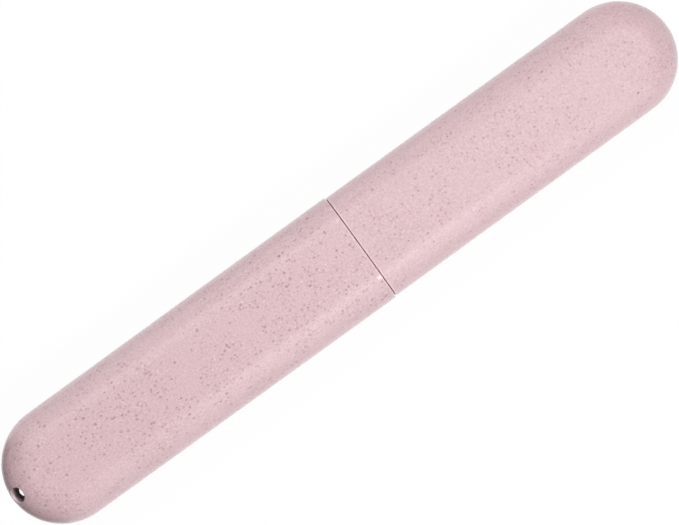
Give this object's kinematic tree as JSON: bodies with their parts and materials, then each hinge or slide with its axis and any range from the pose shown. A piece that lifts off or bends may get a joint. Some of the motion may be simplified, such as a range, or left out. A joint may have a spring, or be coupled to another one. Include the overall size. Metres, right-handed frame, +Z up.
{
  "type": "toothbrush travel case",
  "caption": "Capsule-shaped travel case for a toothbrush: a round-ended body with a neck and a drain eye at its tip, and a round-ended cap that pulls off along the case.",
  "frame": {"origin": "middle of the closed case's length and width, on the flat underside of the body that the case lies on", "axes": "+X along the case from the body's tip towards the cap's tip, +Y across the case, +Z up, square to the flat faces"},
  "size_m": [0.205, 0.031, 0.019],
  "materials": {
    "body_plastic": "satin wheat-straw plastic, pale pink with fine pinkish-brown straw specks",
    "cap_plastic": "satin wheat-straw plastic, pale pink with fine pinkish-brown straw specks"
  },
  "bodies": {
    "body": {"case_body": "body_plastic"},
    "cap": {"case_cap": "cap_plastic"}
  },
  "joints": [
    {"name": "cap_pull", "type": "slide", "parent": "body", "child": "cap", "axis": [1, 0, 0], "range_m": [0, 0.1]}
  ]
}
